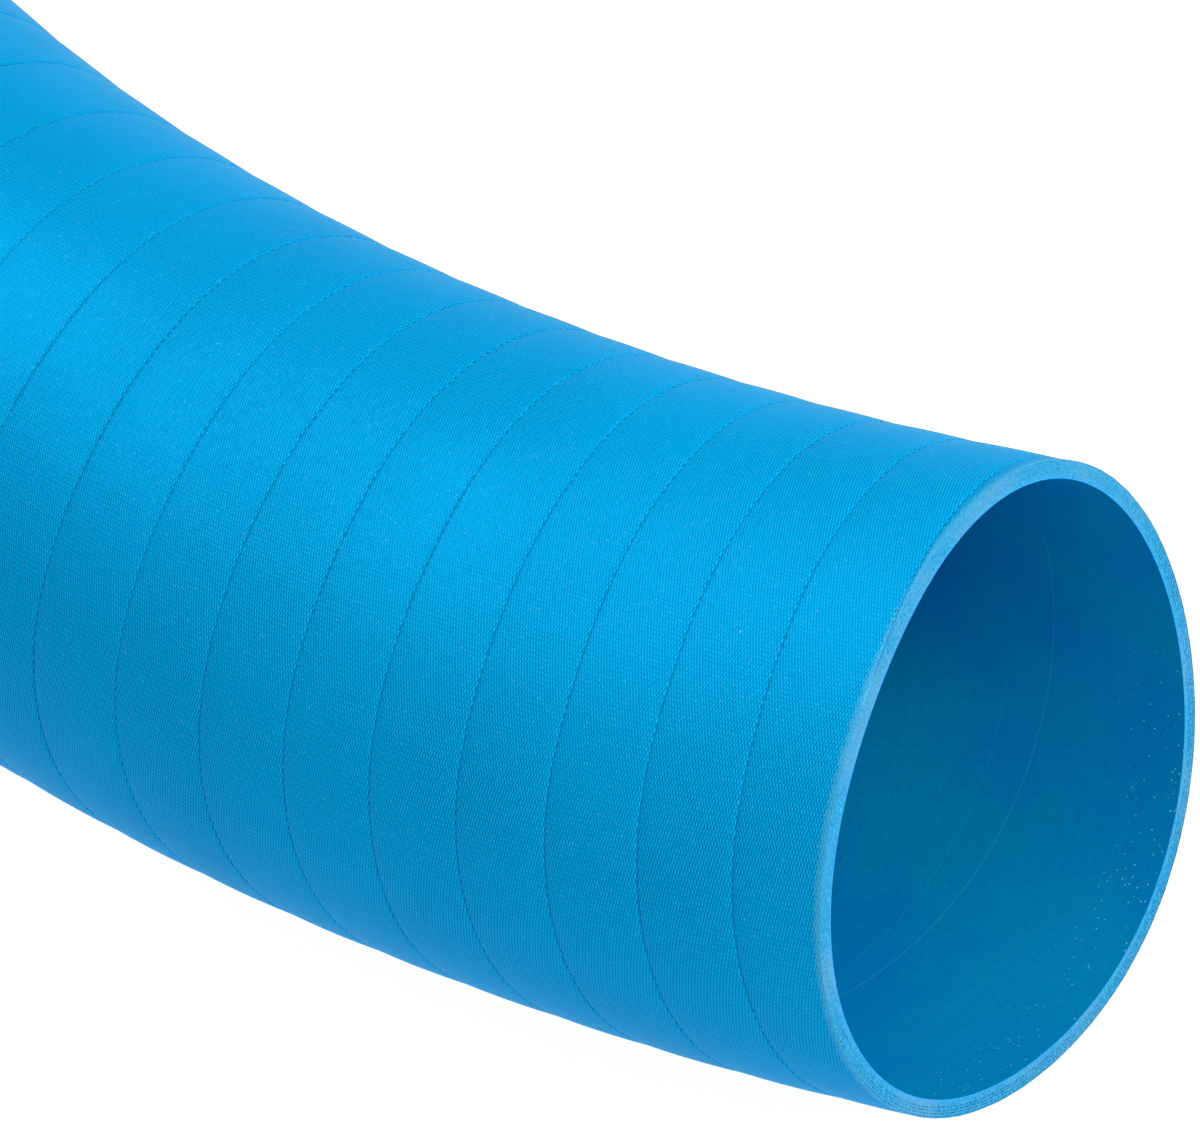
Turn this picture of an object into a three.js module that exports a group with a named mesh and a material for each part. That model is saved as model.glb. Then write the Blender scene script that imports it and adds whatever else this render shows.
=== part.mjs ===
// A cut length of large-bore blue rubber hose, lying flat in the gentle bend that it keeps from its coil.
// Millimetres, +Z up. The hose lies on Z = 0, its middle runs along X, and both ends turn towards +Y.
// The wall is one piece: tube, fabric plies and cover are cured together, so it is one solid with an open bore.
import * as THREE from 'three';

// Driving dimensions
const boreDiameter = 152.4;
const wallThickness = 4.8;
const hoseLength = 1000;
const bendRadius = 1045;

// How far the soft section has gone out of round, as shares of its mean outer radius
const sagShare = 0.044;
const sagLeanShare = -0.013;
const eggShare = 0.029;
const eggLeanShare = 0.0055;

// Fineness of the facets
const sectionSides = 64;
const lengthSteps = 24;

// Sizes that follow from them
const outerRadius = boreDiameter / 2 + wallThickness;
const bendAngle = hoseLength / bendRadius;

// Outer radius of the sagged section, with the angle counted from the outside of the bend upwards
function sectionRadius(angle) {
  const sag = sagShare * Math.cos(2 * angle) + sagLeanShare * Math.sin(2 * angle);
  const egg = eggShare * Math.cos(3 * angle) + eggLeanShare * Math.sin(3 * angle);
  return outerRadius * (1 + sag + egg);
}

// One closed outline of the section, depthBelow inside the cover.
// The sweep carries the outline's x downwards and its y to the outside of the bend.
function sectionOutline(depthBelow) {
  return Array.from({ length: sectionSides }, (_, side) => {
    const angle = (2 * Math.PI * side) / sectionSides;
    const radius = sectionRadius(angle) - depthBelow;
    return new THREE.Vector2(-radius * Math.sin(angle), radius * Math.cos(angle));
  });
}

// Height of the centre line that lets the lowest point of the section touch Z = 0
function restingHeight() {
  const depths = sectionOutline(0).map((point) => point.x);
  return Math.max(...depths);
}

// The centre line: a flat arc from the near end, at +X, to the far end, at -X
class BendLine extends THREE.Curve {
  constructor(height) {
    super();
    this.height = height;
  }

  getPoint(share, target = new THREE.Vector3()) {
    const turn = (0.5 - share) * bendAngle;
    const along = bendRadius * Math.sin(turn);
    const aside = bendRadius * (1 - Math.cos(turn));
    return target.set(along, aside, this.height);
  }
}

// The hose wall: the section with its bore, swept along the centre line and cut square at both ends
function hoseGeometry() {
  const section = new THREE.Shape(sectionOutline(0));
  section.holes.push(new THREE.Path(sectionOutline(wallThickness)));
  return new THREE.ExtrudeGeometry(section, {
    steps: lengthSteps,
    extrudePath: new BendLine(restingHeight()),
  });
}

// Moves the geometry so that the origin is below the middle of its box
function centreOverOrigin(geometry) {
  geometry.computeBoundingBox();
  const middle = geometry.boundingBox.getCenter(new THREE.Vector3());
  return geometry.translate(-middle.x, -middle.y, 0);
}

// Semi-matt blue EPDM rubber
const blueRubber = new THREE.MeshStandardMaterial({ color: 0x0398da, roughness: 0.6, metalness: 0 });

const hose = new THREE.Mesh(centreOverOrigin(hoseGeometry()), blueRubber);
hose.name = 'hose';

const model = new THREE.Group();
model.add(hose);

export default model;
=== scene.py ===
import math

import bpy
import numpy as np
from mathutils import Matrix, Vector, noise


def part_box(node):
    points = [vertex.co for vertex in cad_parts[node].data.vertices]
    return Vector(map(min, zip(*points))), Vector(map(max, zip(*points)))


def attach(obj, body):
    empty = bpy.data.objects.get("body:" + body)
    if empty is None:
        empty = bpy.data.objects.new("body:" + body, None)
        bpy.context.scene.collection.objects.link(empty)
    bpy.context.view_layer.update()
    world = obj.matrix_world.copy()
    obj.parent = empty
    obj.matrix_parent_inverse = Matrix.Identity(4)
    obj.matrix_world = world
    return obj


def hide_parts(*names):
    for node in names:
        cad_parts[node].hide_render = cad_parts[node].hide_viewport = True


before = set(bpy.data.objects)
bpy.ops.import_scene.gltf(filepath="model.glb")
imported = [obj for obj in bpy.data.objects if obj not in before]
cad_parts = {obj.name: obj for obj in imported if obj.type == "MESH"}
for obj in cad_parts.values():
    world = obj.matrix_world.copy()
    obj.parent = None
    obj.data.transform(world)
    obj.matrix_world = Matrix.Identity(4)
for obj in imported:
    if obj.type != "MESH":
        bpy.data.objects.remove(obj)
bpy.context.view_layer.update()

HOSE_LOW, HOSE_HIGH = (Vector(corner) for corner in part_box("hose"))

MM = 0.001
FULL_TURN = 2 * math.pi

# The hose: a 6 in bore, its wall, and the bend it keeps from its coil
BORE_RADIUS = 76.2 * MM
WALL = 4.8 * MM
OUTER_RADIUS = BORE_RADIUS + WALL
LENGTH = 1000 * MM
BEND_RADIUS = 1045 * MM
BEND_ANGLE = LENGTH / BEND_RADIUS

# How far the soft section has gone out of round, as shares of its mean outer radius
SAG = 0.044
SAG_LEAN = -0.013
EGG = 0.029
EGG_LEAN = 0.0055

# The curing tape that the cover was wrapped in left one seam a turn, running round as a right-hand helix.
# Its pitch wanders slowly along the hose, as tape guided by hand does.
MEAN_PITCH = 32.6 * MM
FIRST_TURN = -0.41
WANDER_TURNS = 0.742
WANDER_LENGTH = 800 * MM
WANDER_START = 74 * MM
SEAM_WIGGLE = 0.45 * MM
SEAM_WIGGLE_LENGTH = 45 * MM
SEAM_DEPTH = 0.34 * MM
GROOVE_HALF_WIDTH = 0.55 * MM
GROOVE_SHOULDER = 1.5 * MM
TAPE_CROWN = 0.26 * MM

# Unevenness of the cover, of the bore and of the sawn ends, each with the length of its waves
COVER_WAVE = 0.12 * MM
COVER_WAVE_LENGTH = 60 * MM
LINING_WAVE = 0.12 * MM
LINING_WAVE_LENGTH = 50 * MM
EDGE_RAGGED = 0.12 * MM
EDGE_RAGGED_LENGTH = 3 * MM
CUT_ROUGHNESS = 0.15 * MM
CUT_ROUGHNESS_LENGTH = 4 * MM

# The tape's plain weave, pressed into the rubber: fine warps run round the hose, coarse wefts along it.
# The real spacings are 0.37 and 1.14 mm, which blur away in the render, so both are drawn a little coarser.
# Even whole numbers of both keep the weave unbroken where it meets itself.
WARP_SPACING = 0.37 * MM * 1.2
WEFT_SPACING = 1.14 * MM * 1.1
WARPS_A_TURN = 2 * round(MEAN_PITCH / WARP_SPACING / 2)
WEFTS_ROUND = 2 * round(FULL_TURN * OUTER_RADIUS / WEFT_SPACING / 2)

# How strongly the weave shows: the painted shade in its hollows and the painted highlight on its crowns, as
# multiples of the cover's colour, and its relief
WEAVE_HOLLOW_SHADE = 0.22
WEAVE_CROWN_HIGHLIGHT = 1.28
WEAVE_RELIEF = 0.04 * MM
PRESSED_PATCH = 34 * MM
SHADE_PATCH = 90 * MM

# Painted shade in each tape edge's groove, and a painted highlight on the raised lip beside it.
# The seam of one turn was hardly pressed in.
SEAM_LINE = 0.36 * MM
LIP_HIGHLIGHT_OFFSET = -1.6 * SEAM_LINE
SEAM_WAVER = 0.3 * MM
SEAM_WAVER_LENGTH = 0.9 * MM
FAINT_SEAM = 7.0

# Small faint painted glints and large bright specks of lint in the cover, and its frayed edge at a cut
GLINT_SPACING = 3.4 * MM
LINT_SPACING = 30 * MM
FRAY_REACH = 2.6 * MM
FRAY_GRAIN = 0.3 * MM

# The sawn end: its grain, and the fabric plies in the outer part of the wall
CUT_GRAIN = 0.45 * MM
CUT_RELIEF = 0.12 * MM
SMUDGE_PATCH = 7 * MM
GREY_PATCH = 11 * MM
PLIES = 4
FIRST_PLY = 0.5 * MM
PLY_SPACING = 0.8 * MM
PLY_WANDER = 0.07 * MM
PLY_WANDER_LENGTH = 3 * MM
YARN_RADIUS = 0.2 * MM
YARN_LENGTH = 1.6 * MM
# Painted highlight along the lip at the bore
LIP_HIGHLIGHT_WIDTH = 0.45 * MM
LIP_HIGHLIGHT_EDGE = 0.2 * MM

# The bore: its mottle, grain and mandrel rings, how far in it is darkened by painted shade, and how far it is
# strewn with crumbs
MOTTLE_PATCH = 22 * MM
BORE_GRAIN = 0.7 * MM
BORE_RELIEF = 0.01 * MM
RING_SPACING = 0.8 * MM
RING_SWERVE = 0.004
MOUTH_SHADE_DEPTH = 110 * MM
CRUMB_SPACING = 1.9 * MM
CRUMB_DEPTHS = (5 * MM, 24 * MM)

# Long scratches of the mandrel: distance along where each begins, turn where it begins, how far along it
# would run in a whole turn, its length in turns, and its strength
SCRATCHES = (
    (29 * MM, 0.40, 86 * MM, 0.46, 0.5),
    (54 * MM, 0.50, 60 * MM, 0.36, 0.25),
    (88 * MM, 0.55, 40 * MM, 0.30, 0.2),
    (330 * MM, 0.10, 70 * MM, 0.50, 0.3),
    (870 * MM, 0.25, 80 * MM, 0.45, 0.4),
)
SCRATCH_CORE = 0.08 * MM
SCRATCH_EDGE = 0.3 * MM

# Colours of the rubber
COVER_DEEP = "#008FCB"
COVER_LIGHT = "#0096D4"
# Painted shade in the seam grooves, and painted highlight on the lips beside them
SEAM_SHADE = "#00679F"
SEAM_LIP_HIGHLIGHT = "#30BDF6"
# Pale colour of the specks of lint, and of the small painted glints
LINT_AND_GLINT = "#A9D4EE"
FRAY_PALE = "#45A2D1"
CUT_BLUE = "#0C75AA"
CUT_PALE = "#3693BF"
CUT_GREY = "#5A8DB2"
YARN_BLUE = "#04588A"
# Painted highlight along the bore's lip at a cut
LIP_HIGHLIGHT_BLUE = "#1C8CE0"
BORE_BLUE = "#0088CA"
BORE_TEAL = "#0096C2"
# Darker bore colour, for its grain and for the painted shade near its mouths
BORE_GRAIN_AND_SHADE = "#006CA8"
BORE_SCRATCH = "#2AA2CA"
CRUMB_PALE = "#8FDCE4"
SHEEN_BLUE = "#9FD8F5"
GLOSS_BLUE = "#00B8FF"
RUBBER_IOR = 1.52

# The photograph's view. Its frame is 1200 by 1123 pixels.
IMAGE_WIDTH = 1200
IMAGE_HEIGHT = 1123
SENSOR_WIDTH = 36.0
FOCAL_PIXELS = 11248
VIEW_AZIMUTH = 76.2
VIEW_ELEVATION = 40.24
VIEW_ROLL = -25.42
MOUTH_PIXEL = (1013.2, 794.7)
MOUTH_DISTANCE = 2.787
VIEW_LIMIT = 20

# Stage and lights: name, azimuth, elevation, distance, size and power of each softbox.
# The floor glows, so that it comes out as white as the photograph's background.
WHITE = "#FFFFFF"
LAMP_WHITE = "#FFFDF5"
FLOOR_GREY = "#888888"
FLOOR_GLOW = 0.96
FLOOR_SIZE = 8.0
FLOOR_GAP = 0.3 * MM
WORLD_STRENGTH = 0.32
SOFTBOXES = (
    ("key", -75, 53, 2.4, 1.4, 36),
    ("front", 40, 12, 2.6, 2.4, 5),
    ("mouth", 113, 27, 2.6, 1.0, 54),
    ("back", 165, 36, 2.6, 1.6, 22),
)

# Fineness of the mesh, the angle where its rows close, and the order of its materials
COLUMNS = 240
ROWS_ACROSS_TAPE = (0.22, 0.4, 0.6, 0.78)
CUT_ROWS = 10
BORE_ROWS = 48
SHARP_EDGE = 50
BRANCH_ANGLE = -math.pi / 2
ANGLES = BRANCH_ANGLE + FULL_TURN * np.arange(COLUMNS) / COLUMNS
COVER, CUT, LINING = range(3)

# Each kind of unevenness takes its noise from a place of its own
SEAM_SEED, COVER_SEED, EDGE_SEED, LINING_SEED, CUT_SEED = 0, 3, 5, 7, 9


# Shape of the hose

def section_radius(angle):
    """Outer radius of the sagged section, with the angle counted from the outside of the bend upwards."""
    sag = SAG * np.cos(2 * angle) + SAG_LEAN * np.sin(2 * angle)
    egg = EGG * np.cos(3 * angle) + EGG_LEAN * np.sin(3 * angle)
    return OUTER_RADIUS * (1 + sag + egg)


# The centre line passes through here, half way along the hose
ALL_ROUND = np.linspace(0, FULL_TURN, 720)
MIDDLE = Vector((
    (HOSE_LOW.x + HOSE_HIGH.x) / 2,
    HOSE_LOW.y + float(section_radius(0.0)),
    HOSE_LOW.z + float(np.max(-section_radius(ALL_ROUND) * np.sin(ALL_ROUND))),
))


def place(along, angle, depth):
    """Points that lie `along` the hose from its near end, at `angle` round it and `depth` under its cover."""
    turn = BEND_ANGLE / 2 - along / BEND_RADIUS
    radius = section_radius(angle) - depth
    from_centre = BEND_RADIUS + radius * np.cos(angle)
    x = MIDDLE.x + from_centre * np.sin(turn)
    y = MIDDLE.y + BEND_RADIUS - from_centre * np.cos(turn)
    z = MIDDLE.z + radius * np.sin(angle)
    return np.stack(np.broadcast_arrays(x, y, z), -1)


def tape_turns(along):
    """How many turns of tape lie between a fixed start and this place along the hose."""
    wander = WANDER_TURNS * np.sin(FULL_TURN * (along - WANDER_START) / WANDER_LENGTH)
    return FIRST_TURN + along / MEAN_PITCH + wander


def turns_over(along, angle):
    """The tape's turns counted at a place: a whole number lies on the seam."""
    return tape_turns(along) - angle / FULL_TURN


def along_at(turns):
    """The inverse of tape_turns, read off a fine table of it."""
    table = np.linspace(-4 * MEAN_PITCH, LENGTH + 4 * MEAN_PITCH, 6000)
    return np.interp(turns, tape_turns(table), table)


def smooth_noise(along, angle, wavelength, seed):
    """Soft noise from -1 to 1 over the hose's surface. It closes on itself round the hose."""
    reach = OUTER_RADIUS / wavelength
    values = [
        noise.noise(Vector((a / wavelength, math.cos(t) * reach, math.sin(t) * reach + seed)))
        for a, t in zip(np.ravel(along), np.ravel(angle))
    ]
    return np.reshape(values, np.shape(along))


def cover_depth(turns, along, angle):
    """Depth of the cover's surface: each band of tape crowns a little, and its edge cut a narrow groove."""
    across = turns - np.floor(turns)
    from_seam = np.minimum(across, 1 - across) * MEAN_PITCH
    groove = np.clip(1 - from_seam / GROOVE_HALF_WIDTH, 0, 1)
    shoulder = np.clip(1 - from_seam / GROOVE_SHOULDER, 0, 1)
    crown = 4 * across * (1 - across)
    slow = smooth_noise(along, angle, COVER_WAVE_LENGTH, COVER_SEED)
    return SEAM_DEPTH * (0.6 * groove + 0.4 * shoulder) + TAPE_CROWN * (1 - crown) + COVER_WAVE * slow


def tape_rows():
    """The turns, whole and part, at which the cover's mesh has a row; rows crowd in at each seam."""
    groove = GROOVE_HALF_WIDTH / MEAN_PITCH
    shoulder = GROOVE_SHOULDER / MEAN_PITCH
    within = (0, groove, shoulder) + ROWS_ACROSS_TAPE + (1 - shoulder, 1 - groove)
    first = math.floor(tape_turns(0)) - 3
    last = math.ceil(tape_turns(LENGTH)) + 3
    rows = [turn + part for turn in range(first, last) for part in within]
    return np.array(rows), len(within)


# Mesh of the hose

class HoseMesh:
    """Points, faces and map coordinates of the closed hose wall, gathered before Blender makes the mesh."""

    def __init__(self):
        self.points = []
        self.faces = []
        self.materials = []
        self.cloth = []
        self.wrap = []

    def add_points(self, points):
        """Adds a sheet of points and returns their numbers, in the same layout."""
        start = len(self.points)
        self.points.extend(np.reshape(points, (-1, 3)).tolist())
        return np.arange(start, len(self.points)).reshape(np.shape(points)[:-1])

    def add_face(self, corners, material):
        """One face from its (point, along, angle, turns, depth) corners. Those that coincide are dropped."""
        kept = [corner for i, corner in enumerate(corners) if corner[0] != corners[i - 1][0]]
        if len({corner[0] for corner in kept}) < 3:
            return
        self.faces.append([int(corner[0]) for corner in kept])
        self.materials.append(material)
        self.cloth.extend((corner[1], corner[2] / FULL_TURN) for corner in kept)
        self.wrap.extend((corner[3], corner[4]) for corner in kept)

    def join_rows(self, points, along, angle, turns, depth, material, rows_a_turn=0):
        """Skins a grid whose rows run round the hose and rise by `rows_a_turn` rows where they close."""
        sheets = (points, along, angle, turns, depth)
        grid = np.stack([close_round(sheet, rows_a_turn) for sheet in sheets], -1)
        grid[:, -1, 2] = angle[0, 0] + FULL_TURN
        grid[:, -1, 3] -= 1
        quads = np.stack([grid[:-1, :-1], grid[:-1, 1:], grid[1:, 1:], grid[1:, :-1]], 2)
        for quad in quads.reshape(-1, 4, 5).tolist():
            self.add_face(quad, material)


def close_round(sheet, rows_a_turn):
    """Adds a last column: the first one again, taken one turn of rows further on."""
    beyond = np.repeat(sheet[-1:, 0], rows_a_turn)
    return np.column_stack([sheet, np.concatenate([sheet[rows_a_turn:, 0], beyond])]).astype(float)


def cover_edge(mesh, along):
    """The ragged edge of the cover where the hose is cut off."""
    places = np.full(COLUMNS, along)
    ragged = EDGE_RAGGED * smooth_noise(places, ANGLES, EDGE_RAGGED_LENGTH, EDGE_SEED)
    depth = cover_depth(turns_over(along, ANGLES), places, ANGLES) + ragged
    return mesh.add_points(place(along, ANGLES, depth)), depth


def build_cover(mesh):
    """The outside, in rows that follow the tape. Returns its near and far edges, as points and depths."""
    rows, rows_a_turn = tape_rows()
    turns, angle = np.meshgrid(rows, ANGLES, indexing="ij")
    along = along_at(turns + angle / FULL_TURN)
    along = along + SEAM_WIGGLE * smooth_noise(along, angle, SEAM_WIGGLE_LENGTH, SEAM_SEED)
    along = np.clip(along, 0, LENGTH)
    within = (along > 0) & (along < LENGTH)
    turns = np.where(within, turns, turns_over(along, angle))
    depth = cover_depth(turns, along, angle)
    near, far = cover_edge(mesh, 0.0), cover_edge(mesh, LENGTH)
    points = np.where(along < LENGTH / 2, near[0], far[0])
    points[within] = mesh.add_points(place(along, angle, depth)[within])
    mesh.join_rows(points, along, angle, turns, depth, COVER, rows_a_turn)
    return near, far


def build_lining(mesh):
    """The bore, smooth from its mandrel, from the far end to the near one. Returns its end rows."""
    along, angle = np.meshgrid(np.linspace(LENGTH, 0, BORE_ROWS), ANGLES, indexing="ij")
    depth = WALL + LINING_WAVE * smooth_noise(along, angle, LINING_WAVE_LENGTH, LINING_SEED)
    points = mesh.add_points(place(along, angle, depth))
    mesh.join_rows(points, along, angle, turns_over(along, angle), depth, LINING)
    return (points[0], depth[0]), (points[-1], depth[-1])


def build_cut(mesh, first, last, end):
    """One sawn end, between two edges that are there already: its rows rise and dip where the saw tore."""
    share = np.linspace(0, 1, CUT_ROWS)[:, None]
    depth = first[1] * (1 - share) + last[1] * share
    angle = np.broadcast_to(ANGLES, depth.shape)
    torn = smooth_noise(np.cumsum(depth, 0), angle, CUT_ROUGHNESS_LENGTH, CUT_SEED)
    along = end + CUT_ROUGHNESS * torn * (share * (1 - share) > 0)
    points = np.zeros(depth.shape, int)
    points[0], points[-1] = first[0], last[0]
    points[1:-1] = mesh.add_points(place(along, angle, depth)[1:-1])
    mesh.join_rows(points, along, angle, turns_over(along, angle), depth, CUT)


def write_map(mesh, name, values):
    """A UV map that holds measures of the hose for the materials to read."""
    layer = mesh.uv_layers.new(name=name)
    layer.data.foreach_set("uv", np.array(values, dtype=np.float32).ravel())


def build_hose(materials):
    """The whole hose as one closed mesh: cover, far cut, lining and near cut, joined edge to edge."""
    parts = HoseMesh()
    near_rim, far_rim = build_cover(parts)
    far_bore, near_bore = build_lining(parts)
    build_cut(parts, far_rim, far_bore, LENGTH)
    build_cut(parts, near_bore, near_rim, 0.0)
    mesh = bpy.data.meshes.new("rubber_hose")
    mesh.from_pydata(parts.points, [], parts.faces)
    write_map(mesh, "cloth", parts.cloth)
    write_map(mesh, "wrap", parts.wrap)
    mesh.polygons.foreach_set("material_index", parts.materials)
    for material in materials:
        mesh.materials.append(material)
    mesh.shade_smooth()
    mesh.set_sharp_from_angle(angle=math.radians(SHARP_EDGE))
    hose = bpy.data.objects.new("rubber_hose", mesh)
    bpy.context.collection.objects.link(hose)
    return hose


# Helpers of the materials

def linear(hex_colour):
    """An sRGB hex colour as the linear colour that Blender's nodes take."""
    channels = [int(hex_colour[i:i + 2], 16) / 255 for i in (1, 3, 5)]
    return [c / 12.92 if c <= 0.04045 else ((c + 0.055) / 1.055) ** 2.4 for c in channels] + [1.0]


def add(tree, kind, inputs=(), **settings):
    """Adds a shader node. Its inputs, by name or number, are values, nodes or the sockets to link them to.

    A MapRange takes its value as 0 and brings it from the range of 1 and 2 to that of 3 and 4. A Mix of
    colours takes the share as 0 and the colours as 6 and 7.
    """
    node = tree.nodes.new("ShaderNode" + kind)
    for name, value in settings.items():
        setattr(node, name, value)
    for key, value in dict(inputs).items():
        if isinstance(value, bpy.types.Node):
            value = next(socket for socket in value.outputs if socket.enabled)
        if isinstance(value, bpy.types.NodeSocket):
            tree.links.new(value, node.inputs[key])
        else:
            node.inputs[key].default_value = value
    return node


def patches_of(size):
    """The Scale at which noise has patches of about this size. Its values lie mostly from 0.3 to 0.7."""
    return 0.5 / size


def start_material(name):
    """An empty material, its tree, and the sockets that tell where on the hose a point lies."""
    material = bpy.data.materials.new(name)
    material.use_nodes = True
    tree = material.node_tree
    tree.nodes.clear()
    at = {"place": add(tree, "TexCoord").outputs["Object"]}
    at["height"] = add(tree, "SeparateXYZ", {0: at["place"]}).outputs[2]
    for map_name, measures in (("cloth", ("along", "around")), ("wrap", ("turns", "depth"))):
        split = add(tree, "SeparateXYZ", {0: add(tree, "UVMap", uv_map=map_name)})
        at[measures[0]], at[measures[1]] = split.outputs[0], split.outputs[1]
    return material, tree, at


def finish_material(tree, colour, layers, height, relief, roughness, metallic, specular, sheen=0.0):
    """Lays (share, hex colour) layers over the colour, lowest first, and joins it and the relief to a shader.

    Rubber is no metal, but this one's gloss is as blue as its pigment, which a small metallic share gives.
    """
    for share, layer in layers:
        colour = add(tree, "Mix", {0: share, 6: colour, 7: linear(layer)}, data_type="RGBA")
    bump = add(tree, "Bump", {"Height": height, "Strength": 1.0, "Distance": relief})
    rubber = add(tree, "BsdfPrincipled", {
        "Base Color": colour,
        "Roughness": roughness,
        "Metallic": metallic,
        "IOR": RUBBER_IOR,
        "Specular IOR Level": specular,
        "Sheen Weight": sheen,
        "Sheen Roughness": 0.45,
        "Sheen Tint": linear(SHEEN_BLUE),
        "Specular Tint": linear(GLOSS_BLUE),
        "Normal": bump,
    })
    add(tree, "OutputMaterial", {"Surface": rubber})


def from_nearest_end(tree, at):
    """Distance along the hose to the nearer of its ends."""
    to_far_end = add(tree, "Math", {0: LENGTH, 1: at["along"]}, operation="SUBTRACT")
    return add(tree, "Math", {0: at["along"], 1: to_far_end}, operation="MINIMUM")


def scattered_specks(tree, at, spacing, radii, strength):
    """The share of small specks, solid up to the first of two radii and gone at the second.

    The radii are shares of the spacing.
    """
    nearest = add(tree, "TexVoronoi", {"Vector": at["place"], "Scale": 1 / spacing})
    return add(tree, "MapRange", {0: nearest, 1: radii[0], 2: radii[1], 3: strength, 4: 0.0})


# Cover

def tape_weave(tree, at):
    """The tape's weave as a height of about -1.2 to 1.2, with the weft's wave and its double.

    Threads differ a little, and the tape was pressed in harder in some patches than in others.
    """
    warp_along = add(tree, "Math", {0: at["along"], 1: WARP_SPACING}, operation="DIVIDE")
    warp = add(tree, "Math", {0: at["around"], 1: -float(WARPS_A_TURN), 2: warp_along},
               operation="MULTIPLY_ADD")
    weft = add(tree, "Math", {0: at["around"], 1: float(WEFTS_ROUND)}, operation="MULTIPLY")
    waves = []
    for thread, step in ((warp, math.pi), (weft, math.pi), (weft, FULL_TURN)):
        phase = add(tree, "Math", {0: thread, 1: step}, operation="MULTIPLY")
        waves.append(add(tree, "Math", {0: phase}, operation="COSINE"))
    warp_wave, weft_wave, weft_double = waves
    crossing = add(tree, "Math", {0: warp_wave, 1: weft_wave}, operation="MULTIPLY")
    weave = add(tree, "Math", {0: weft_double, 1: 0.2, 2: crossing}, operation="MULTIPLY_ADD")
    threads = add(tree, "CombineXYZ", {0: warp, 1: weft})
    uneven = add(tree, "TexNoise", {"Vector": threads, "Scale": 0.45, "Detail": 1.0}, noise_dimensions="2D")
    uneven = add(tree, "MapRange", {0: uneven, 1: 0.3, 2: 0.7, 3: 0.8, 4: 1.2})
    pressed = add(tree, "TexNoise", {
        "Vector": at["place"], "Scale": patches_of(PRESSED_PATCH), "Detail": 2.0})
    pressed = add(tree, "MapRange", {0: pressed, 1: 0.3, 2: 0.65, 3: 0.7, 4: 1.05},
                  interpolation_type="SMOOTHSTEP")
    for strength in (uneven, pressed):
        weave = add(tree, "Math", {0: weave, 1: strength}, operation="MULTIPLY")
    return weave, weft_wave, weft_double


def seam_marks(tree, at, weft_wave, weft_double):
    """The painted shade in each tape edge's groove and the painted highlight on the lip beside it, both
    broken up by the wefts. Returns two shares.
    """
    whole = add(tree, "Math", {0: at["turns"]}, operation="ROUND")
    off_seam = add(tree, "Math", {0: at["turns"], 1: whole}, operation="SUBTRACT")
    across = add(tree, "Math", {0: off_seam, 1: MEAN_PITCH}, operation="MULTIPLY")
    waver = add(tree, "TexNoise", {
        "Vector": at["place"], "Scale": patches_of(SEAM_WAVER_LENGTH), "Detail": 1.0})
    waver = add(tree, "MapRange", {0: waver, 1: 0.3, 2: 0.7, 3: -SEAM_WAVER, 4: SEAM_WAVER})
    across = add(tree, "Math", {0: across, 1: waver}, operation="ADD")
    is_faint = add(tree, "Math", {0: whole, 1: FAINT_SEAM, 2: 0.5}, operation="COMPARE")
    clear = add(tree, "MapRange", {0: is_faint, 1: 0.0, 2: 1.0, 3: 1.0, 4: 0.25})
    stitches = add(tree, "MapRange", {0: weft_double, 1: -0.6, 2: 0.6, 3: 0.15, 4: 1.0})
    dots = add(tree, "MapRange", {0: weft_wave, 1: 0.1, 2: 0.9, 3: 0.0, 4: 1.0})
    marks = []
    for centre, broken in ((0.0, stitches), (LIP_HIGHLIGHT_OFFSET, dots)):
        distance = add(tree, "Math", {0: across, 1: centre}, operation="SUBTRACT")
        distance = add(tree, "Math", {0: distance}, operation="ABSOLUTE")
        mark = add(tree, "MapRange", {0: distance, 1: 0.3 * SEAM_LINE, 2: 1.3 * SEAM_LINE, 3: 1.0, 4: 0.0},
                   interpolation_type="SMOOTHSTEP")
        for share in (clear, broken):
            mark = add(tree, "Math", {0: mark, 1: share}, operation="MULTIPLY")
        marks.append(mark)
    return marks


def frayed_edge(tree, at):
    """How far the saw has frayed the cover: most at the cut, then in a stipple that thins out."""
    nearness = add(tree, "MapRange", {0: from_nearest_end(tree, at), 1: 0.0, 2: FRAY_REACH, 3: 0.4, 4: -0.1})
    stipple = add(tree, "TexNoise", {"Vector": at["place"], "Scale": patches_of(FRAY_GRAIN), "Detail": 2.0})
    frayed = add(tree, "Math", {0: nearness, 1: stipple}, operation="ADD")
    return add(tree, "MapRange", {0: frayed, 1: 0.5, 2: 0.8, 3: 0.0, 4: 0.85})


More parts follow.
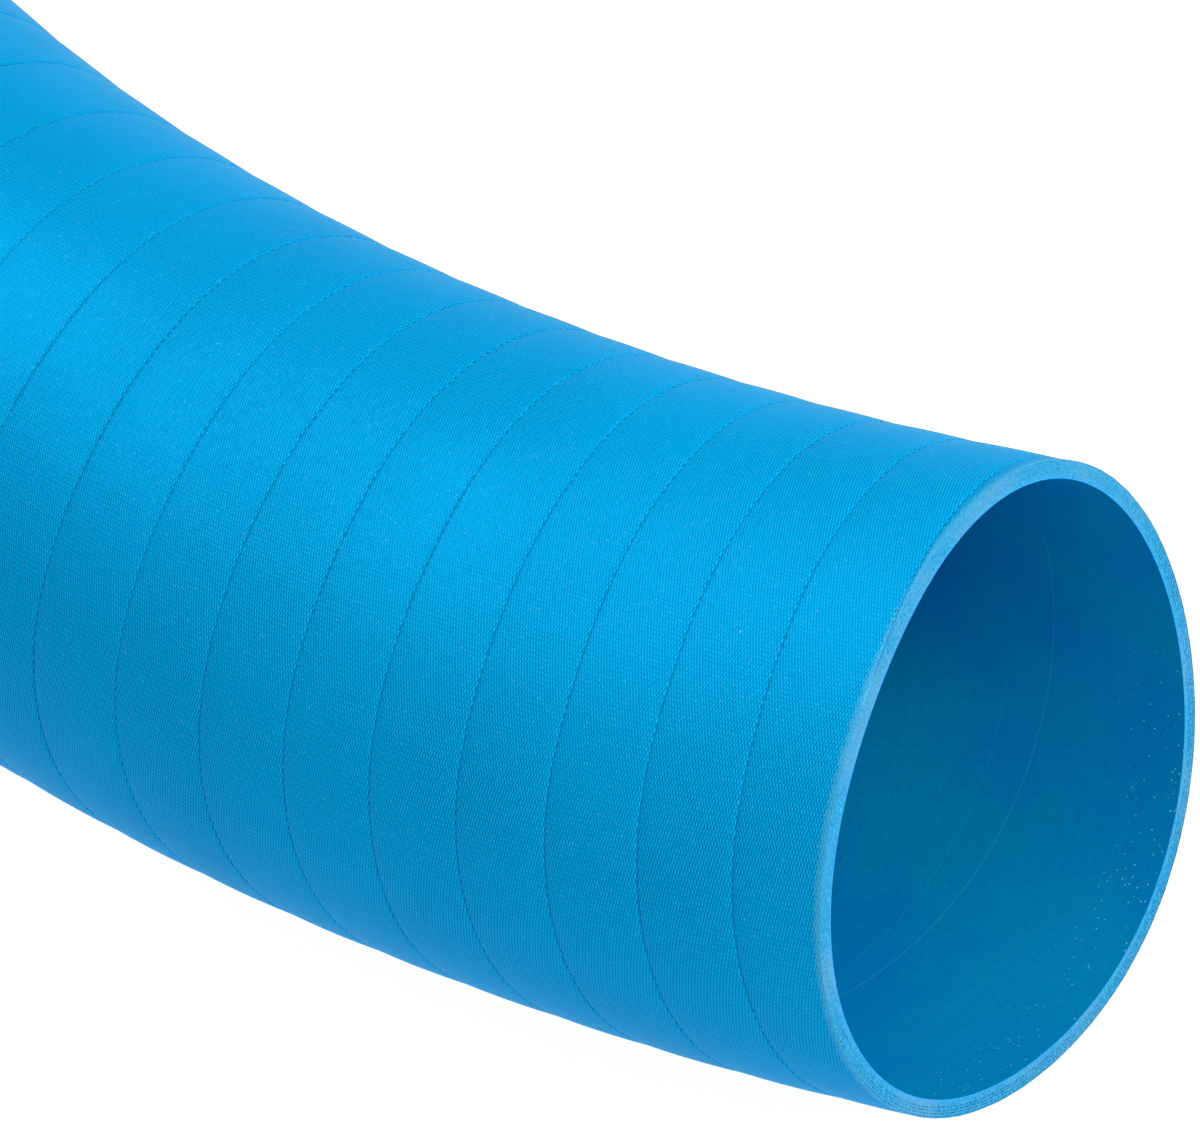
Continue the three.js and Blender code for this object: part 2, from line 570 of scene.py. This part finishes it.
def wrapped_rubber():
    """EPDM cover rubber, cured under nylon tape that was then stripped off.

    It shows the tape's weave as rows of small staggered dimples, with painted shade in their hollows and a
    painted highlight on their crowns; a dark broken line of painted shade in each tape edge's groove, with a
    painted highlight on the raised lip beside it; small faint painted glints; scattered pale specks of lint;
    and a frayed pale edge where it was sawn.
    """
    material, tree, at = start_material("wrapped_rubber")
    weave, weft_wave, weft_double = tape_weave(tree, at)
    seam, lip_highlight = seam_marks(tree, at, weft_wave, weft_double)

    shades = add(tree, "TexNoise", {"Vector": at["place"], "Scale": patches_of(SHADE_PATCH), "Detail": 3.0})
    colour = add(tree, "Mix", {0: shades, 6: linear(COVER_DEEP), 7: linear(COVER_LIGHT)}, data_type="RGBA")
    # Painted shade in the weave's hollows and painted highlight on its crowns
    crowns = add(tree, "MapRange", {0: weave, 1: -1.1, 2: 0.35, 3: 0.0, 4: 1.0})
    dark, light = ([weave_shading] * 3 + [1.0] for weave_shading in (WEAVE_HOLLOW_SHADE, WEAVE_CROWN_HIGHLIGHT))
    weave_shading = add(tree, "Mix", {0: crowns, 6: dark, 7: light}, data_type="RGBA")
    colour = add(tree, "Mix", {0: 1.0, 6: colour, 7: weave_shading}, data_type="RGBA", blend_type="MULTIPLY",
                 clamp_result=False)
    layers = (
        # Painted shade in the seam grooves and painted highlight on their lips
        (add(tree, "Math", {0: seam, 1: 0.6}, operation="MULTIPLY"), SEAM_SHADE),
        (add(tree, "Math", {0: lip_highlight, 1: 0.3}, operation="MULTIPLY"), SEAM_LIP_HIGHLIGHT),
        # Small faint painted glints, then large bright specks of real lint
        (scattered_specks(tree, at, GLINT_SPACING, (0.03, 0.1), 0.16), LINT_AND_GLINT),
        (scattered_specks(tree, at, LINT_SPACING, (0.012, 0.02), 0.7), LINT_AND_GLINT),
        (frayed_edge(tree, at), FRAY_PALE),
    )

    height = add(tree, "Math", {0: seam, 1: -2.0, 2: weave}, operation="MULTIPLY_ADD")
    height = add(tree, "Math", {0: lip_highlight, 1: 0.8, 2: height}, operation="MULTIPLY_ADD")
    finish_material(tree, colour, layers, height, WEAVE_RELIEF, roughness=0.45, metallic=0.17, specular=0.01)
    return material


# Sawn ends

def cut_yarns(tree, at):
    """The cut ends of each ply's yarns, as a share for each ply: a row of dashes at its depth in the wall.

    The saw smeared them over in patches, and left them clearest low down.
    """
    smeared = add(tree, "TexNoise", {"Vector": at["place"], "Scale": patches_of(SMUDGE_PATCH), "Detail": 2.0})
    shown = add(tree, "MapRange", {0: smeared, 1: 0.3, 2: 0.6, 3: 0.55, 4: 1.0},
                interpolation_type="SMOOTHSTEP")
    low_down = add(tree, "MapRange", {
        0: at["height"], 1: 0.9 * BORE_RADIUS, 2: 1.6 * BORE_RADIUS, 3: 1.0, 4: 0.3})
    shown = add(tree, "Math", {0: shown, 1: low_down}, operation="MULTIPLY")
    wander = add(tree, "TexNoise", {
        "Vector": at["place"], "Scale": patches_of(PLY_WANDER_LENGTH), "Detail": 1.0})
    wander = add(tree, "MapRange", {0: wander, 1: 0.3, 2: 0.7, 3: -PLY_WANDER, 4: PLY_WANDER})
    wavy_depth = add(tree, "Math", {0: at["depth"], 1: wander}, operation="ADD")
    yarns_round = FULL_TURN * OUTER_RADIUS / YARN_LENGTH
    round_rim = add(tree, "Math", {0: at["around"], 1: yarns_round}, operation="MULTIPLY")
    yarns = []
    for ply in range(PLIES):
        off_ply = add(tree, "Math", {0: wavy_depth, 1: FIRST_PLY + ply * PLY_SPACING}, operation="SUBTRACT")
        off_ply = add(tree, "Math", {0: off_ply}, operation="ABSOLUTE")
        row = add(tree, "MapRange", {0: off_ply, 1: 0.4 * YARN_RADIUS, 2: 1.3 * YARN_RADIUS, 3: 1.0, 4: 0.0},
                  interpolation_type="SMOOTHSTEP")
        on_ply = add(tree, "CombineXYZ", {0: round_rim, 1: 7.3 * ply})
        loose = add(tree, "TexNoise", {"Vector": on_ply, "Scale": 0.4, "Detail": 1.0}, noise_dimensions="2D")
        step = add(tree, "Math", {0: loose, 1: 3.0, 2: round_rim}, operation="MULTIPLY_ADD")
        step = add(tree, "Math", {0: step}, operation="FRACT")
        dash = add(tree, "MapRange", {0: step, 1: 0.3, 2: 0.45, 3: 0.0, 4: 1.0})
        yarn = add(tree, "Math", {0: row, 1: dash}, operation="MULTIPLY")
        yarns.append(add(tree, "Math", {0: yarn, 1: shown}, operation="MULTIPLY"))
    return yarns


def cut_rubber():
    """The sawn wall: torn rubber, paler than the cover and grainy, with the cut yarn ends of the plies.

    The plies lie in the outer part of the wall as rows of fine dark dashes. The inner part is plain tube
    rubber, down to a lip at the bore with a painted highlight along it.
    """
    material, tree, at = start_material("cut_rubber")
    grain = add(tree, "TexNoise", {
        "Vector": at["place"], "Scale": patches_of(CUT_GRAIN), "Detail": 3.0, "Roughness": 0.7})
    grain = add(tree, "MapRange", {0: grain, 1: 0.32, 2: 0.68, 3: 0.0, 4: 1.0})
    colour = add(tree, "Mix", {0: grain, 6: linear(CUT_BLUE), 7: linear(CUT_PALE)}, data_type="RGBA")
    greyed = add(tree, "TexNoise", {"Vector": at["place"], "Scale": patches_of(GREY_PATCH), "Detail": 3.0})
    greyed = add(tree, "MapRange", {0: greyed, 1: 0.42, 2: 0.72, 3: 0.0, 4: 0.45},
                 interpolation_type="SMOOTHSTEP")
    yarns = cut_yarns(tree, at)
    # Painted highlight along the lip at the bore
    lip_highlight = add(tree, "MapRange", {0: at["depth"], 1: WALL - LIP_HIGHLIGHT_WIDTH, 2: WALL - LIP_HIGHLIGHT_EDGE, 3: 0.0, 4: 0.7})
    layers = [(greyed, CUT_GREY)] + [(yarn, YARN_BLUE) for yarn in yarns] + [(lip_highlight, LIP_HIGHLIGHT_BLUE)]
    height = grain
    for yarn in yarns:
        height = add(tree, "Math", {0: yarn, 1: -0.3, 2: height}, operation="MULTIPLY_ADD")
    finish_material(tree, colour, layers, height, CUT_RELIEF, roughness=0.85, metallic=0.0, specular=0.15,
                    sheen=0.1)
    return material


# Bore

def mandrel_scratch(tree, at, begin, start_turn, slant, extent, strength):
    """One long fine scratch that runs round the bore at a slant, as a share."""
    turned = add(tree, "Math", {0: at["around"], 1: start_turn}, operation="SUBTRACT")
    turned = add(tree, "Math", {0: turned}, operation="FRACT")
    line = add(tree, "Math", {0: turned, 1: slant, 2: begin}, operation="MULTIPLY_ADD")
    off_line = add(tree, "Math", {0: at["along"], 1: line}, operation="SUBTRACT")
    off_line = add(tree, "Math", {0: off_line}, operation="ABSOLUTE")
    scratch = add(tree, "MapRange", {0: off_line, 1: SCRATCH_CORE, 2: SCRATCH_EDGE, 3: strength, 4: 0.0})
    on_length = add(tree, "Math", {0: turned, 1: extent}, operation="LESS_THAN")
    return add(tree, "Math", {0: scratch, 1: on_length}, operation="MULTIPLY")


def saw_crumbs(tree, at, to_end):
    """Crumbs of rubber that fell from the saw: many low in the bore at its mouths, few elsewhere."""
    crumbs = scattered_specks(tree, at, CRUMB_SPACING, (0.06, 0.14), 0.9)
    near_saw = add(tree, "MapRange", {0: to_end, 1: CRUMB_DEPTHS[0], 2: CRUMB_DEPTHS[1], 3: 1.0, 4: 0.07})
    fallen = add(tree, "MapRange", {
        0: at["height"], 1: 0.5 * BORE_RADIUS, 2: 0.8 * BORE_RADIUS, 3: 1.0, 4: 0.05})
    for share in (near_saw, fallen):
        crumbs = add(tree, "Math", {0: crumbs, 1: share}, operation="MULTIPLY")
    return crumbs


def mandrel_rubber():
    """The tube rubber of the bore, cured against a smooth steel mandrel: even, darker and a little glossy.

    The mandrel left fine rings round it, and a few longer scratches. Pale crumbs from the saw lie low in it,
    near its mouths, where painted shade darkens it too, so that it is lighter deeper in.
    """
    material, tree, at = start_material("mandrel_rubber")
    mottle = add(tree, "TexNoise", {"Vector": at["place"], "Scale": patches_of(MOTTLE_PATCH), "Detail": 4.0})
    mottle = add(tree, "MapRange", {0: mottle, 1: 0.35, 2: 0.65, 3: 0.0, 4: 1.0},
                 interpolation_type="SMOOTHSTEP")
    colour = add(tree, "Mix", {0: mottle, 6: linear(BORE_BLUE), 7: linear(BORE_TEAL)}, data_type="RGBA")
    to_end = from_nearest_end(tree, at)
    # Painted shade near the mouths, so that the bore is lighter deeper in
    mouth_shade = add(tree, "MapRange", {0: to_end, 1: 0.0, 2: MOUTH_SHADE_DEPTH, 3: 0.45, 4: 0.0})
    swerve = add(tree, "Math", {0: at["around"], 1: RING_SWERVE}, operation="MULTIPLY")
    on_ring = add(tree, "CombineXYZ", {0: at["along"], 1: swerve})
    rings = add(tree, "TexNoise", {"Vector": on_ring, "Scale": patches_of(RING_SPACING), "Detail": 3.0})
    ring_shade = add(tree, "MapRange", {0: rings, 1: 0.3, 2: 0.7, 3: 0.0, 4: 0.06})
    grain = add(tree, "TexNoise", {"Vector": at["place"], "Scale": patches_of(BORE_GRAIN), "Detail": 2.0})
    grain = add(tree, "MapRange", {0: grain, 1: 0.3, 2: 0.7, 3: 0.0, 4: 1.0})
    grain_share = add(tree, "Math", {0: grain, 1: 0.28}, operation="MULTIPLY")
    layers = (
        (mouth_shade, BORE_GRAIN_AND_SHADE),
        (ring_shade, BORE_SCRATCH),
        (grain_share, BORE_GRAIN_AND_SHADE),
        *((mandrel_scratch(tree, at, *scratch), BORE_SCRATCH) for scratch in SCRATCHES),
        (saw_crumbs(tree, at, to_end), CRUMB_PALE),
    )
    height = add(tree, "Math", {0: grain, 1: rings}, operation="ADD")
    finish_material(tree, colour, layers, height, BORE_RELIEF, roughness=0.45, metallic=0.15, specular=0.05)
    return material


# Stage, lights and camera

def direction(azimuth, elevation):
    """The unit vector that points this way from the hose. Azimuth 0 is the -Y side and 90 the +X side."""
    side, up = math.radians(azimuth), math.radians(elevation)
    return Vector((math.sin(side) * math.cos(up), -math.cos(side) * math.cos(up), math.sin(up)))


def build_floor():
    """A plain pale floor under the hose."""
    material = bpy.data.materials.new("pale_floor")
    material.use_nodes = True
    tree = material.node_tree
    tree.nodes.clear()
    matt = add(tree, "BsdfPrincipled", {
        "Base Color": linear(FLOOR_GREY),
        "Roughness": 0.9,
        "Specular IOR Level": 0.1,
        "Emission Color": linear(WHITE),
        "Emission Strength": FLOOR_GLOW,
    })
    add(tree, "OutputMaterial", {"Surface": matt})
    bpy.ops.mesh.primitive_plane_add(size=FLOOR_SIZE, location=(0, 0, HOSE_LOW.z - FLOOR_GAP))
    floor = bpy.context.object
    floor.name = "pale_floor"
    floor.data.materials.append(material)


def add_softbox(name, azimuth, elevation, distance, size, power):
    """A square soft light that looks at the hose."""
    light = bpy.data.lights.new(name, "AREA")
    light.size = size
    light.energy = power
    light.color = linear(LAMP_WHITE)[:3]
    lamp = bpy.data.objects.new(name, light)
    outward = direction(azimuth, elevation)
    lamp.location = MIDDLE + outward * distance
    lamp.rotation_euler = outward.to_track_quat("Z", "Y").to_euler()
    bpy.context.collection.objects.link(lamp)


def light_studio():
    """Even white surroundings and the softboxes."""
    world = bpy.data.worlds.new("studio")
    world.use_nodes = True
    background = world.node_tree.nodes["Background"]
    background.inputs["Color"].default_value = linear(WHITE)
    background.inputs["Strength"].default_value = WORLD_STRENGTH
    bpy.context.scene.world = world
    for softbox in SOFTBOXES:
        add_softbox(*softbox)
    bpy.context.scene.view_settings.view_transform = "Standard"


def add_camera():
    """The photograph's view: a long lens, tilted, that looks down at the near mouth of the hose."""
    camera_data = bpy.data.cameras.new("camera")
    camera_data.sensor_width = SENSOR_WIDTH
    camera_data.lens = FOCAL_PIXELS / IMAGE_WIDTH * SENSOR_WIDTH
    camera_data.clip_end = VIEW_LIMIT
    camera = bpy.data.objects.new("camera", camera_data)
    side, roll = math.radians(VIEW_AZIMUTH), math.radians(VIEW_ROLL)
    backward = direction(VIEW_AZIMUTH, VIEW_ELEVATION)
    level_right = Vector((math.cos(side), math.sin(side), 0))
    level_up = backward.cross(level_right)
    right = level_right * math.cos(roll) + level_up * math.sin(roll)
    upward = level_up * math.cos(roll) - level_right * math.sin(roll)
    mouth = Vector(place(0.0, 0.0, section_radius(0.0)))
    across = (MOUTH_PIXEL[0] - IMAGE_WIDTH / 2) / FOCAL_PIXELS * MOUTH_DISTANCE
    down = (MOUTH_PIXEL[1] - IMAGE_HEIGHT / 2) / FOCAL_PIXELS * MOUTH_DISTANCE
    station = mouth - right * across + upward * down + backward * MOUTH_DISTANCE
    axes = Matrix((right, upward, backward)).transposed().to_4x4()
    camera.matrix_world = Matrix.Translation(station) @ axes
    bpy.context.collection.objects.link(camera)
    bpy.context.scene.camera = camera


add_camera()
build_floor()
light_studio()
hose = build_hose([wrapped_rubber(), cut_rubber(), mandrel_rubber()])
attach(hose, "root")
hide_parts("hose")
